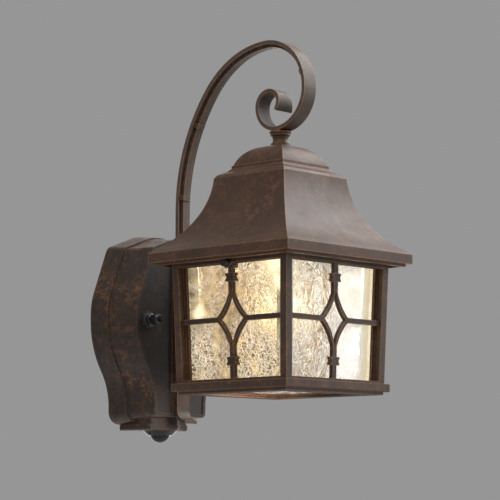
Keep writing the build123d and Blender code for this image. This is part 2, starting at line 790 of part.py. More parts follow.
housing_foot_z = bulb_top_z - seat - bulb_housing_length
with BuildPart() as bulb_housing:
    with BuildSketch(axis_plane):
        with BuildLine():
            Line((0, bulb_top_z - seat), (bulb_cap_radius + 1, bulb_top_z - seat))
            Line((bulb_cap_radius + 1, bulb_top_z - seat), (bulb_radius, housing_foot_z + 3))
            Line((bulb_radius, housing_foot_z + 3), (bulb_radius, housing_foot_z))
            Line((bulb_radius, housing_foot_z), (0, housing_foot_z))
            Line((0, housing_foot_z), (0, bulb_top_z - seat))
        make_face()
    revolve(axis=lantern_axis)
write(bulb_housing.part, "bulb_housing")

globe_top_z = housing_foot_z - seat
bulb_foot_z = bulb_top_z - bulb_length
globe_depth = globe_top_z - bulb_foot_z
with BuildPart() as bulb_globe:
    with BuildSketch(axis_plane):
        with BuildLine():
            Line((0, globe_top_z), (bulb_radius - 0.3, globe_top_z))
            widest = (bulb_radius, globe_top_z - globe_depth + bulb_radius)
            Line((bulb_radius - 0.3, globe_top_z), widest)
            RadiusArc(widest, (0, bulb_foot_z), bulb_radius)
            Line((0, bulb_foot_z), (0, globe_top_z))
        make_face()
    revolve(axis=lantern_axis)
write(bulb_globe.part, "bulb_globe")

# ---------------------------------------------------------------- cage
def half_at(z, inset=0.0):
    """Half side of the tapered cage at a height, less an inset."""
    return cage_half_sill + slope * (z - sill_z) - inset


def taper_block(inset, low, high, mode=Mode.ADD):
    """Tapered square block that keeps the same inset from the cage's faces."""
    sections = []
    for z in (low, high):
        with BuildSketch(Plane((0, axis_y, z))) as level:
            Rectangle(2 * half_at(z, inset), 2 * half_at(z, inset))
        sections.append(level.sketch)
    loft(sections=sections, ruled=True, mode=mode)


def window_cut(inset, low, high):
    """Cuts the tapered windows through all four faces, this far in from the corners."""
    for across in (True, False):
        sections = []
        for z in (low, high):
            wide, through = 2 * half_at(z, inset), 4 * cage_half_top
            with BuildSketch(Plane((0, axis_y, z))) as level:
                Rectangle(wide if across else through, through if across else wide)
            sections.append(level.sketch)
        loft(sections=sections, ruled=True, mode=Mode.SUBTRACT)


def face_plane(turn, inset, z=0.0):
    """Plane on a cage face: turn 0 is the front, 90 the right, -90 the left, 180 the back."""
    out_x, out_y = sin(radians(turn)), -cos(radians(turn))
    reach = half_at(z, inset)
    return Plane((out_x * reach, axis_y + out_y * reach, z), x_dir=(-out_y, out_x, 0),
                 z_dir=(out_x, out_y, -slope))


side_turns = (-90, 90)
inner_face = pane_inset - seat
lip_top_z = sill_z - rail_height
cage_foot_z = lip_top_z - rail_lip_height
with BuildPart() as cage_frame:
    taper_block(0, sill_z, cage_top_z)
    window_cut(post_width, window_foot_z, window_top_z)
    taper_block(reveal, sill_z, cage_top_z)
    window_cut(post_width + flange_width, window_foot_z, window_top_z)
    for turn in side_turns:
        with BuildSketch(face_plane(turn, 0.6)):
            with Locations((0, window_top_z - tab_drop / 2 + 1)):
                Rectangle(2 * tab_half, tab_drop + 2)
        extrude(amount=-reveal)
    square(rail_half, lip_top_z, sill_z)
    fillet(cage_frame.faces().filter_by(Plane.XY).sort_by(Axis.Z)[0].edges(), radius=1)
    square(lip_half, cage_foot_z, lip_top_z + 1)
    taper_block(inner_face, sill_z, cage_top_z + 1, Mode.SUBTRACT)
    square(well_half, lip_top_z, sill_z + 1, Mode.SUBTRACT)
    square(mouth_half, cage_foot_z - 1, sill_z, Mode.SUBTRACT)
    for turn in side_turns:
        with BuildSketch(face_plane(turn, -2)):
            with Locations((0, screw_z)):
                Circle(screw_radius + 0.3)
            with Locations((0, screw_z + 10)):
                Rectangle(2 * screw_radius + 0.6, 20)
        extrude(amount=-20, mode=Mode.SUBTRACT)
write(cage_frame.part, "cage_frame")


def diamond(half, rise):
    """Diamond with hollow sides."""
    with BuildSketch(Plane.XY) as outline:
        with BuildLine():
            bow = diamond_bow * sqrt(half ** 2 + rise ** 2) / sqrt(
                diamond_half ** 2 + diamond_rise ** 2)
            SagittaArc((half, 0), (0, rise), bow)
            SagittaArc((0, rise), (-half, 0), bow)
            SagittaArc((-half, 0), (0, -rise), bow)
            SagittaArc((0, -rise), (half, 0), bow)
        make_face()
    return outline.sketch


def lattice(turn, top):
    """Lattice of one window: cross bars, a hollow-sided diamond and two collars."""
    foot = window_foot_z + seat
    middle = Location((0, diamond_z))
    with BuildPart() as grille:
        with BuildSketch(face_plane(turn, lattice_inset)):
            with Locations(middle):
                Rectangle(2 * half_at(diamond_z, post_width + 2 * seat), bar_face)
            with Locations((0, (top + foot) / 2)):
                Rectangle(upright_face, top - foot)
            add(middle * diamond(diamond_half, diamond_rise))
            add(middle * diamond(diamond_hole_half, diamond_hole_rise), mode=Mode.SUBTRACT)
        extrude(amount=-lattice_thickness)
        for side in (-1, 1):
            collar_z = diamond_z + side * collar_offset
            ring_offset = (collar_height - collar_ring) / 2
            with BuildSketch(face_plane(turn, lattice_inset - 0.7)):
                with Locations((0, collar_z - ring_offset), (0, collar_z + ring_offset)):
                    Rectangle(collar_face, collar_ring)
                with Locations((0, collar_z)):
                    Rectangle(collar_face - 2 * collar_neck, collar_height)
            extrude(amount=-lattice_thickness - 0.7)
    return grille.part


side_top = window_top_z - tab_drop - 2 * seat
lattice_front = lattice(0, window_top_z - seat)
lattice_left = lattice(-90, side_top)
lattice_right = lattice(90, side_top)
write(lattice_front, "lattice_front")
write(lattice_left, "lattice_left")
write(lattice_right, "lattice_right")


def pane(turn, thickness, notched):
    """Pane behind one window, its upright edges mitred to meet the next pane."""
    foot = sill_z + seat
    sections = []
    for depth in (0, thickness):
        wide_low = half_at(foot, pane_inset + depth) - 0.25
        wide_high = half_at(glass_top_z, pane_inset + depth) - 0.25
        with BuildSketch(face_plane(turn, pane_inset + depth)) as outline:
            with BuildLine():
                Polyline((-wide_low, foot), (wide_low, foot), (wide_high, glass_top_z),
                         (-wide_high, glass_top_z), close=True)
            make_face()
        sections.append(outline.sketch)
    with BuildPart() as glazing:
        loft(sections=sections, ruled=True)
        if notched:
            with BuildSketch(face_plane(turn, 0)):
                with Locations((0, screw_z)):
                    Circle(notch_half)
                with Locations((0, screw_z + 10)):
                    Rectangle(2 * notch_half, 20)
            extrude(amount=-2 * pane_inset, mode=Mode.SUBTRACT)
    return glazing.part


write(pane(0, glass_thickness, False), "glass_front")
write(pane(-90, glass_thickness, True), "glass_left")
write(pane(90, glass_thickness, True), "glass_right")
write(pane(180, glass_thickness, False), "back_panel")

with BuildPart() as bottom_glass:
    square(well_half - 0.3, lip_top_z + seat, lip_top_z + seat + glass_thickness)
    chamfer(bottom_glass.edges().filter_by(Axis.Z), length=3)
write(bottom_glass.part, "bottom_glass")

keeper_inset = pane_inset + glass_thickness + seat
with BuildPart() as glass_keepers:
    for side_x in (-1, 1):
        for side_y in (-1, 1):
            sections = []
            for z in (sill_z + seat, cage_top_z + seat + keeper_thickness):
                corner = half_at(z, keeper_inset)
                with BuildSketch(Plane((side_x * corner, axis_y + side_y * corner, z))) as angle:
                    with Locations((-side_x * keeper_leg / 2, -side_y * keeper_leg / 2)):
                        Rectangle(keeper_leg, keeper_leg)
                    with Locations((-side_x * (keeper_leg / 2 + keeper_thickness),
                                    -side_y * (keeper_leg / 2 + keeper_thickness))):
                        Rectangle(keeper_leg, keeper_leg, mode=Mode.SUBTRACT)
                sections.append(angle.sketch)
            loft(sections=sections, ruled=True)
            corner = half_at(cage_top_z, keeper_inset)
            with Locations((side_x * (corner + 2.5), axis_y + side_y * (corner + 2.5),
                            cage_top_z + seat + keeper_thickness / 2)):
                Box(7, 7, keeper_thickness)
write(glass_keepers.part, "glass_keepers")

with BuildPart() as keeper_screws:
    reach = half_at(cage_top_z, keeper_inset) + 6.2
    for side_x in (-1, 1):
        for side_y in (-1, 1):
            with Locations((side_x * reach, axis_y + side_y * reach,
                            cage_top_z + 2 * seat + keeper_thickness + 0.8)):
                Cylinder(1.6, 1.6)
write(keeper_screws.part, "keeper_screws")


def along_side(side, low, high, radius, mode=Mode.ADD):
    """Round bar on a thumbscrew's axis, from low to high measured from the lantern's axis."""
    with Locations(Location((side * (low + high) / 2, axis_y, screw_z), (0, 90, 0))):
        Cylinder(radius, high - low, mode=mode)


washer_face = half_at(screw_z) + seat + 0.1
head_face = washer_face + washer_thickness + seat
for side, name in ((-1, "left"), (1, "right")):
    with BuildPart() as washer:
        along_side(side, washer_face, washer_face + washer_thickness, washer_radius)
        along_side(side, washer_face - 1, washer_face + 3, screw_radius + 0.2, Mode.SUBTRACT)
    write(washer.part, f"screw_washer_{name}")
    with BuildPart() as thumbscrew:
        along_side(side, screw_tail, head_face + 1, screw_radius)
        along_side(side, head_face, head_face + head_length, head_radius)
        chamfer(thumbscrew.edges().filter_by(GeomType.CIRCLE).sort_by(SortBy.RADIUS)[-1], length=0.7)
    write(thumbscrew.part, f"thumbscrew_{name}")

# ---------------------------------------------------------------- sensor
with BuildPart() as sensor_base:
    with BuildSketch(Plane.XY.offset(base_foot_z)):
        add(base_outline(0))
    extrude(amount=base_height)
    chamfer(sensor_base.faces().sort_by(Axis.Z)[0].edges().group_by(Axis.Y)[0], length=1.2)
    with Locations((0, sensor_y, base_foot_z)):
        Cylinder(stem_radius + running, 4 * base_height, mode=Mode.SUBTRACT)
write(sensor_base.part, "sensor_base")

ring_top_z = base_foot_z - seat
stem_top_z = foot_z + pad_height + stem_reach
with BuildPart() as swivel_ring:
    with Locations((0, sensor_y, ring_top_z - ring_height / 2)):
        Cone(ring_foot_radius, ring_radius, ring_height)
    with Locations((0, sensor_y, (stem_top_z + ring_top_z) / 2)):
        Cylinder(stem_radius, stem_top_z - ring_top_z)
    with Locations((0, sensor_y, ring_top_z)):
        Cylinder(ball_radius + ball_gap, 4 * ball_radius, mode=Mode.SUBTRACT)
    with Locations(Location((0, sensor_y, ball_z), (0, 90, 0))):
        Cylinder(trunnion_radius + running, 4 * ring_radius, mode=Mode.SUBTRACT)
write(swivel_ring.part, "swivel_ring")

with BuildPart() as swivel_nut:
    with Locations((0, sensor_y, foot_z + pad_height + 0.3 + swivel_nut_height / 2)):
        Cylinder(swivel_nut_radius, swivel_nut_height)
        Cylinder(stem_radius + seat, swivel_nut_height, mode=Mode.SUBTRACT)
write(swivel_nut.part, "swivel_nut")

with BuildPart() as sensor_ball:
    with Locations((0, sensor_y, ball_z)):
        Sphere(ball_radius)
    with Locations((0, sensor_y, lens_z - 10)):
        Box(4 * ball_radius, 4 * ball_radius, 20, mode=Mode.SUBTRACT)
    with Locations(Location((0, sensor_y, ball_z), (0, 90, 0))):
        Cylinder(trunnion_radius, 2 * ball_radius + 3)
write(sensor_ball.part, "sensor_ball")

with BuildPart() as sensor_lens:
    with Locations((0, sensor_y, ball_z)):
        Sphere(ball_radius)
    with Locations((0, sensor_y, lens_z - seat + 15)):
        Box(4 * ball_radius, 4 * ball_radius, 30, mode=Mode.SUBTRACT)
write(sensor_lens.part, "sensor_lens")
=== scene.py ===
"""Outdoor wall lantern: finishes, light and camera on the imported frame.

Everything is in metres, and the wall is the plane Y = 0.
"""
import json
from math import cos, radians, sin

import bpy
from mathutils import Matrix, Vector


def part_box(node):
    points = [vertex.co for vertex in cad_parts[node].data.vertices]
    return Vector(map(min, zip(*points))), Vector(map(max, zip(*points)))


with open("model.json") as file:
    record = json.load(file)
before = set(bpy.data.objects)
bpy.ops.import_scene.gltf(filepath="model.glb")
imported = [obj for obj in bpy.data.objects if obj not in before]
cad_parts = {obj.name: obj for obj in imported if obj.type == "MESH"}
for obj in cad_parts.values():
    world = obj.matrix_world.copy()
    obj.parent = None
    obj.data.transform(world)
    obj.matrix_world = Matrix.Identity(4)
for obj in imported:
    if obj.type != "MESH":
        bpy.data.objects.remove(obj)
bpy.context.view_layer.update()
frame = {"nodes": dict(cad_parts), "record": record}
nodes = frame["nodes"]

# ---------------------------------------------------------------- sizes taken from the frame
cage_low, cage_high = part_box("cage_frame")
AXIS_Y = (cage_low.y + cage_high.y) / 2      # the lantern's upright axis is at X = 0 and here
PANE_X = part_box("glass_left")[0].x           # outer face of the left pane

# ---------------------------------------------------------------- camera
CAMERA_PLACE = (-1.4115, -1.4518, -0.1622)
CAMERA_TURN = radians(47.135)                # to the right, from straight at the wall
CAMERA_RISE = radians(6.82)                  # upward
CAMERA_LENS = 150                            # millimetres
CAMERA_FAR_CLIP = 200                        # beyond the floor's farthest corner


def aim(thing, direction):
    """Turn a camera or a light, which look along their own -Z, to face this way."""
    thing.rotation_euler = direction.to_track_quat("-Z", "Y").to_euler()


def make_camera():
    """Camera at the photograph's angle: looking slightly up from the left of the front."""
    data = bpy.data.cameras.new("Camera")
    data.lens = CAMERA_LENS
    data.clip_end = CAMERA_FAR_CLIP
    camera = bpy.data.objects.new("Camera", data)
    camera.location = CAMERA_PLACE
    ahead = cos(CAMERA_RISE)
    aim(camera, Vector((sin(CAMERA_TURN) * ahead, cos(CAMERA_TURN) * ahead, sin(CAMERA_RISE))))
    bpy.context.scene.collection.objects.link(camera)
    bpy.context.scene.camera = camera


make_camera()

# ---------------------------------------------------------------- node helpers
MIX_FIRST, MIX_SECOND, MIX_RESULT = 6, 7, 2  # a Mix node's sockets for colours
BEVEL_SAMPLES = 6
OPENNESS_SAMPLES = 8


class Shader:
    """One node material, with short calls for the nodes that the finishes share."""

    def __init__(self, name):
        self.material = bpy.data.materials.new(name)
        self.material.use_nodes = True
        self.tree = self.material.node_tree
        self.tree.nodes.clear()
        self.output = self.add("ShaderNodeOutputMaterial")
        self.coords = self.add("ShaderNodeTexCoord").outputs["Object"]

    def add(self, kind, **values):
        """A new node with these properties."""
        node = self.tree.nodes.new(kind)
        for key, value in values.items():
            setattr(node, key, value)
        return node

    def link(self, source, target):
        """Join an output to an input."""
        self.tree.links.new(source, target)

    def plug(self, value, socket):
        """Link an output to an input, or set the input to a number, a colour or a vector."""
        if isinstance(value, bpy.types.NodeSocket):
            self.link(value, socket)
        elif socket.type == "RGBA":
            socket.default_value = (*value, 1)
        else:
            socket.default_value = value

    def maths(self, operation, *values):
        """The result of an operation on numbers."""
        node = self.add("ShaderNodeMath", operation=operation)
        for value, socket in zip(values, node.inputs):
            self.plug(value, socket)
        return node.outputs["Value"]

    def times(self, first, *others):
        """The product of all the values."""
        for other in others:
            first = self.maths("MULTIPLY", first, other)
        return first

    def largest(self, first, *others):
        """The largest of all the values."""
        for other in others:
            first = self.maths("MAXIMUM", first, other)
        return first

    def vectors(self, operation, *values, result="Vector"):
        """The result of an operation on vectors."""
        node = self.add("ShaderNodeVectorMath", operation=operation)
        for value, socket in zip(values, node.inputs):
            self.plug(value, socket)
        return node.outputs[result]

    def along(self, vector, axis):
        """A vector's length along one axis."""
        node = self.add("ShaderNodeSeparateXYZ")
        self.link(vector, node.inputs["Vector"])
        return node.outputs[axis]

    def between(self, value, start, end):
        """0 to 1 as a value goes from start to end, and no further."""
        node = self.add("ShaderNodeMapRange")
        self.link(value, node.inputs["Value"])
        node.inputs["From Min"].default_value = start
        node.inputs["From Max"].default_value = end
        return node.outputs["Result"]

    def ramp(self, source, *stops):
        """A value read off a line through these stops, each a source value and its result."""
        node = self.add("ShaderNodeValToRGB")
        ramp = node.color_ramp
        while len(ramp.elements) < len(stops):
            ramp.elements.new(0.5)
        for element, (place, value) in zip(ramp.elements, stops):
            element.position = place
            element.color = (value, value, value, 1)
        self.link(source, node.inputs["Fac"])
        return node.outputs["Color"]

    def mix(self, factor, first, second):
        """The first colour where the factor is 0, and the second where it is 1."""
        node = self.add("ShaderNodeMix", data_type="RGBA")
        self.plug(factor, node.inputs["Factor"])
        self.plug(first, node.inputs[MIX_FIRST])
        self.plug(second, node.inputs[MIX_SECOND])
        return node.outputs[MIX_RESULT]

    def noise(self, scale, detail, roughness=0.55, distortion=0.0, vector=None):
        """Cloudy noise from 0 to 1. The scale counts its clouds in a metre."""
        node = self.add("ShaderNodeTexNoise")
        node.inputs["Scale"].default_value = scale
        node.inputs["Detail"].default_value = detail
        node.inputs["Roughness"].default_value = roughness
        node.inputs["Distortion"].default_value = distortion
        self.link(vector or self.coords, node.inputs["Vector"])
        return node.outputs["Fac"]

    def cells(self, scale, vector):
        """0 on the seams between irregular cells, and more towards their middles."""
        node = self.add("ShaderNodeTexVoronoi", feature="DISTANCE_TO_EDGE")
        node.inputs["Scale"].default_value = scale
        self.link(vector, node.inputs["Vector"])
        return node.outputs["Distance"]

    def level(self, source):
        """0 where a noise crosses its middle value, and more away from that line."""
        return self.maths("ABSOLUTE", self.maths("SUBTRACT", source, 0.5))

    def span(self, axis, start, end):
        """0 to 1 from start to end along an object axis."""
        return self.between(self.along(self.coords, axis), start, end)

    def near(self, place, reach):
        """1 at a place in object space, falling to 0 at this reach from it."""
        gap = self.vectors("DISTANCE", self.coords, place, result="Value")
        return self.between(gap, reach, 0.0)

    def shifted(self, source, reach):
        """Object coordinates pushed about by a noise, up to this far."""
        return self.vectors("MULTIPLY_ADD", source, (reach, reach, reach), self.coords)

    def scaled(self, scale):
        """Object coordinates stretched along their axes."""
        return self.vectors("MULTIPLY", self.coords, scale)

    def own_normal(self):
        """The surface's normal before any bump."""
        return self.add("ShaderNodeNewGeometry").outputs["Normal"]

    def edges(self, radius):
        """1 along sharp edges, 0 on open faces."""
        bevel = self.add("ShaderNodeBevel", samples=BEVEL_SAMPLES)
        bevel.inputs["Radius"].default_value = radius
        likeness = self.vectors("DOT_PRODUCT", bevel.outputs["Normal"], self.own_normal(),
                                result="Value")
        return self.ramp(likeness, (0.90, 1.0), (0.985, 0.0))

    def openness(self, reach):
        """1 on open faces, less where another face stands within this reach."""
        node = self.add("ShaderNodeAmbientOcclusion", samples=OPENNESS_SAMPLES)
        node.inputs["Distance"].default_value = reach
        return node.outputs["AO"]

    def facing(self, axis):
        """1 on faces that look along the negative side of an axis, 0 on the others."""
        against = self.times(self.along(self.own_normal(), axis), -1.0)
        return self.ramp(against, (0.80, 0.0), (0.96, 1.0))

    def bump(self, height, strength, distance, normal=None):
        """A normal bent by this height, on top of another bump's if one is given."""
        node = self.add("ShaderNodeBump")
        node.inputs["Strength"].default_value = strength
        node.inputs["Distance"].default_value = distance
        self.link(height, node.inputs["Height"])
        if normal:
            self.link(normal, node.inputs["Normal"])
        return node.outputs["Normal"]

    def finish(self, color, roughness, normal=None, **sockets):
        """The finished material. The shader's other sockets go by name, with _ for a space."""
        node = self.add("ShaderNodeBsdfPrincipled")
        self.plug(color, node.inputs["Base Color"])
        self.plug(roughness, node.inputs["Roughness"])
        if normal:
            self.link(normal, node.inputs["Normal"])
        for key, value in sockets.items():
            self.plug(value, node.inputs[key.replace("_", " ")])
        self.link(node.outputs["BSDF"], self.output.inputs["Surface"])
        return self.material


# ---------------------------------------------------------------- rusty paint
RUST = (0.235, 0.095, 0.033)
RUBBED = (0.40, 0.185, 0.080)                # orange-brown, along the edges
RUBBED_REACH = 0.0016                        # how far in from an edge


def rust_paint(name, dark_low, dark_high, rust, wear=1.0,
               shade_mask=None, shade_color=None, shade_rust=1.0, shade_roughness=None):
    """Dark brown paint, finely specked with rust and rubbed to orange-brown along the edges.

    rust and wear are the shares of the specks and of the rubbing. The last four arguments paint
    shade:
    a mask of the faces to shade, their darker colour, and their own share of the rust and
    roughness.
    """
    s = Shader(name)
    cloud = s.noise(115, detail=6, roughness=0.7, distortion=0.2)
    speck = s.noise(420, detail=4, roughness=0.7)
    tone = s.ramp(s.noise(28, detail=3), (0.35, 0.0), (0.65, 1.0))
    dark = s.mix(tone, dark_low, dark_high)
    blend = s.maths("ADD", s.times(cloud, 0.55), s.times(speck, 0.45))
    where = s.ramp(s.noise(24, detail=3, roughness=0.6), (0.38, 0.2), (0.62, 1.0))
    amount = s.times(s.ramp(blend, (0.48, 0.0), (0.62, 1.0)), where, rust)
    rough = s.ramp(s.noise(60, detail=4), (0.3, 0.44), (0.7, 0.53))
    # Painted shade: the masked faces get a darker colour, their own share of the rust and their own
    # roughness.
    if shade_mask:
        shaded = shade_mask(s)
        dark = s.mix(shaded, dark, shade_color)
        amount = s.times(amount, s.ramp(shaded, (0.0, 1.0), (1.0, shade_rust)))
        rough = s.mix(shaded, rough, (shade_roughness, shade_roughness, shade_roughness))
    rusty = s.mix(amount, dark, RUST)
    worn = s.times(s.edges(RUBBED_REACH), s.ramp(speck, (0.35, 0.2 * wear), (0.65, 0.9 * wear)))
    grain = s.bump(s.noise(420, detail=3), strength=0.03, distance=0.0005)
    normal = s.bump(cloud, strength=0.05, distance=0.0006, normal=grain)
    return s.finish(s.mix(worn, rusty, RUBBED), rough, normal)


# ---------------------------------------------------------------- metal and plastic
GRAIN_DEPTH = 0.0003


def steel(name, color, roughness):
    """Plated steel with a faint brushed unevenness."""
    s = Shader(name)
    tone = s.mix(s.noise(120, detail=5), color, tuple(c * 0.8 for c in color))
    rough = s.ramp(s.noise(300, detail=4), (0.3, roughness), (0.7, roughness + 0.15))
    normal = s.bump(s.noise(500, detail=3), strength=0.1, distance=GRAIN_DEPTH)
    return s.finish(tone, rough, normal, Metallic=0.9)


def plain(name, color, roughness, grain=0.1, **sockets):
    """Moulded plastic, rubber, porcelain or paint with a fine grain."""
    s = Shader(name)
    tone = s.mix(s.noise(80, detail=4), color, tuple(c * 0.85 for c in color))
    rough = s.ramp(s.noise(200, detail=4), (0.3, roughness), (0.7, roughness + 0.08))
    normal = s.bump(s.noise(600, detail=3), strength=grain, distance=GRAIN_DEPTH)
    return s.finish(tone, rough, normal, **sockets)


# ---------------------------------------------------------------- seeded glass, with painted lamp light
GLASS_ROUGHNESS = 0.04
TRANSMISSION = 0.95
WAVE_DEPTH = 0.0012
VEIN_DEPTH = 0.0010

# A glow is painted light from the lamp, which a pane sends out by itself, and a tint colours the
# light that comes through it.
VEIN_GLOW = (1.0, 0.95, 0.84)
VEIN_COVER = 0.95                            # the share of the glow under it that a vein hides
RIM_GLOW = (0.05, 0.025, 0.008)
RIM_TINT = (0.50, 0.31, 0.11)
FINE_TOP, BROAD_FOOT = 0.42, 0.62            # shares of the cage's height
CRACKLE_SHIFT = 0.016                        # how far the crackle's straight seams are bent

# Painted light: a calm pane's smooth side glows brighter.
BRIGHT_SIDE_GLOW = (0.62, 0.60, 0.57)
BRIGHT_SIDE_COVER = 0.8                             # the share of the veins that the painted bright side hides
CALM_SHARE = 0.45                            # the share of the veins that a calm pane has
RIBBON_GLOW = (1.0, 0.96, 0.86)
RIBBON_RIM_GLOW = (0.10, 0.055, 0.015)
RIBBON_RIM_TINT = (0.38, 0.23, 0.08)
RIBBON_STRETCH = (1.0, 1.0, 0.5)             # makes them twice as tall as wide
RIBBON_START = -0.052                        # X where the ribbons begin
VERGE_GLOW = (1.00, 0.84, 0.50)
VERGE = (0.044, 0.053)                       # X where the painted golden light along the edge begins and is full

# Painted highlight: the lamp's glare in the glass, in the glow at fixed places.
GLARE_GLOW = (1.25, 1.12, 0.80)
GLARE_RIM_GLOW = (0.80, 0.52, 0.16)
GLARE_RAGGEDNESS = 1.1


def add_ribbons(s, end, tint, glow):
    """Broad brown-rimmed ribbons, glowing with painted light, on a calm pane up to this X, and
    painted golden light at its edge.

    Returns the pale parts of the ribbons, then the glass's tint and glow with them.
    """
    ribbon = s.level(s.noise(30, detail=3, roughness=0.60, distortion=2.2,
                             vector=s.scaled(RIBBON_STRETCH)))
    zone = s.ramp(s.span("X", RIBBON_START, end),
                  (0.0, 0.25), (0.30, 1.0), (0.75, 1.0), (1.0, 0.0))
    pale = s.times(s.ramp(ribbon, (0.0, 1.0), (0.016, 0.9), (0.028, 0.0)), zone)
    rims = s.times(s.ramp(ribbon, (0.022, 0.0), (0.042, 1.0), (0.085, 0.0)), zone)
    glow = s.mix(pale, s.mix(rims, glow, RIBBON_RIM_GLOW), RIBBON_GLOW)
    # Painted golden light along the calm pane's edge.
    glow = s.mix(s.span("X", *VERGE), glow, VERGE_GLOW)
    return pale, s.mix(rims, tint, RIBBON_RIM_TINT), glow


def add_painted_glare(s, spots, crackle, glow):
    """The glow with a painted highlight of the lamp's glare at these places, ragged and cut by the
    crackle.
    """
    ragged = s.times(s.maths("SUBTRACT", s.noise(75, detail=4), 0.5), GLARE_RAGGEDNESS)
    for place, reach in spots:
        spot = s.ramp(s.maths("ADD", s.near(place, reach), ragged), (0.05, 0.0), (0.58, 1.0))
        cover = s.times(spot, s.ramp(crackle, (0.05, 0.75), (0.2, 1.0)))
        glow = s.mix(cover, glow, s.mix(spot, GLARE_RIM_GLOW, GLARE_GLOW))
    return glow


def seeded_glass(name, clear, body, shade, strength, calm=None, glare_spots=(), ior=1.45):
    """Old-style crackled glass with pale veins that have brown rims, glowing with painted lamp
    light.

    clear is the glass's own colour, and body and shade are its glow between the veins, which is
    painted light from the lamp behind it. Low down the veins are fine, and higher up they are
    broad. A calm pane has fewer of them, ribbons, and a smooth side with painted bright light,
    which begins and is full at the two places given along X. A painted highlight of the lamp's
    glare goes at each listed place, with its reach.
    """
    s = Shader(name)
    region = s.ramp(s.noise(26, detail=2, roughness=0.5, distortion=0.6), (0.38, 0.15), (0.60, 1.0))
    clouds = s.ramp(s.noise(48, detail=4, roughness=0.6, distortion=1.2), (0.38, 0.0), (0.62, 1.0))
    ground = s.mix(clouds, shade, body)
    if calm:
        # Painted light: the calm pane's smooth side glows brighter and has fewer veins.
        bright_side = s.span("X", *calm)
        region = s.times(region, s.maths("SUBTRACT", 1.0, s.times(bright_side, BRIGHT_SIDE_COVER)), CALM_SHARE)
        ground = s.mix(bright_side, ground, BRIGHT_SIDE_GLOW)
    height = s.span("Z", cage_low.z, cage_high.z)
    low = s.times(region, s.ramp(height, (FINE_TOP, 1.0), (BROAD_FOOT, 0.3)))
    high = s.times(region, s.ramp(height, (FINE_TOP, 0.0), (BROAD_FOOT, 1.0)))

    crackle = s.cells(190, s.shifted(s.noise(45, detail=2), CRACKLE_SHIFT))
    swirl = s.level(s.noise(52, detail=4, roughness=0.62, distortion=1.6))
    streak = s.level(s.noise(34, detail=4, roughness=0.60, distortion=2.2))
    pale = s.largest(
        s.times(s.ramp(crackle, (0.0, 1.0), (0.09, 0.0)), low),
        s.times(s.ramp(swirl, (0.0, 1.0), (0.012, 0.8), (0.022, 0.0)), region),
        s.times(s.ramp(streak, (0.0, 1.0), (0.014, 0.9), (0.028, 0.0)), high))
    rims = s.largest(
        s.times(s.ramp(crackle, (0.06, 0.0), (0.13, 1.0), (0.24, 0.0)), low),
        s.times(s.ramp(swirl, (0.015, 0.0), (0.03, 1.0), (0.06, 0.0)), region),
        s.times(s.ramp(streak, (0.02, 0.0), (0.045, 1.0), (0.10, 0.0)), high))

    # The glow is painted light from the lamp: brighter along the veins and darker at their rims.
    tint = s.mix(rims, clear, RIM_TINT)
    glow = s.mix(s.times(pale, VEIN_COVER), s.mix(rims, ground, RIM_GLOW), VEIN_GLOW)
    if calm:
        ribbons, tint, glow = add_ribbons(s, calm[1], tint, glow)
        pale = s.largest(pale, ribbons)
    if glare_spots:
        glow = add_painted_glare(s, glare_spots, crackle, glow)
    relief = s.bump(pale, strength=1.0, distance=VEIN_DEPTH)
    waves = s.noise(38, detail=3, distortion=1.4)
    normal = s.bump(waves, strength=1.0, distance=WAVE_DEPTH, normal=relief)
    return s.finish(tint, GLASS_ROUGHNESS, normal, Transmission_Weight=TRANSMISSION, IOR=ior,
                    Emission_Color=glow, Emission_Strength=strength)


def lamp_globe(name):
    """Frosted globe, lit, in two tones that are both brightest next to its neck."""
    s = Shader(name)
    low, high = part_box("bulb_globe")
    rise = s.ramp(s.span("Z", low.z, high.z), (0.35, 0.0), (0.95, 1.0))
    glow = s.mix(s.noise(25, detail=2),
                 s.mix(rise, (0.50, 0.37, 0.20), (1.0, 0.84, 0.56)),
                 s.mix(rise, (0.58, 0.43, 0.25), (1.0, 0.88, 0.62)))
    normal = s.bump(s.noise(400, detail=2), strength=0.1, distance=GRAIN_DEPTH)
    return s.finish((0.9, 0.85, 0.75), 0.5, normal, Emission_Color=glow, Emission_Strength=1.6)


# ---------------------------------------------------------------- a finish for every node
# Painted highlight of the lamp's glare in the left pane: distance toward the wall from the axis,
# height, reach.
PAINTED_GLARE_PLACES = ((0.047, 0.006, 0.012), (-0.052, 0.046, 0.022), (-0.053, 0.028, 0.011))

finishes = {
    "rust_paint": rust_paint("rust_paint", (0.055, 0.028, 0.016), (0.076, 0.038, 0.021), rust=0.62),
    "zinc_steel": steel("zinc_steel", (0.42, 0.43, 0.45), roughness=0.32),
    "black_paint": plain("black_paint", (0.012, 0.012, 0.013), roughness=0.32),
    "black_rubber": plain("black_rubber", (0.012, 0.012, 0.012), roughness=0.75, grain=0.25),
    "white_plastic": plain("white_plastic", (0.72, 0.71, 0.67), roughness=0.45),
    "black_plastic": plain("black_plastic", (0.016, 0.016, 0.017), roughness=0.5),
    "gloss_black": plain("gloss_black", (0.005, 0.005, 0.006), roughness=0.06, grain=0.02,
                         Specular_IOR_Level=0.35),
    "porcelain": plain("porcelain", (0.70, 0.68, 0.63), roughness=0.18, grain=0.03),
    "brass": steel("brass", (0.60, 0.42, 0.16), roughness=0.25),
    "seeded_glass": seeded_glass(
        "seeded_glass", clear=(0.97, 0.92, 0.80), body=(0.31, 0.25, 0.135),
        shade=(0.10, 0.07, 0.03), strength=0.42,
        glare_spots=[((PANE_X, AXIS_Y + inward, height), reach)
                for inward, height, reach in PAINTED_GLARE_PLACES]),
    "lamp_globe": lamp_globe("lamp_globe"),
}


def dress(material, *names):
    """Give nodes this material alone."""
    for name in names:
        nodes[name].data.materials.clear()
        nodes[name].data.materials.append(material)


for part in frame["record"]["subparts"]:
    dress(finishes[part["material_slot"]], part["node"])
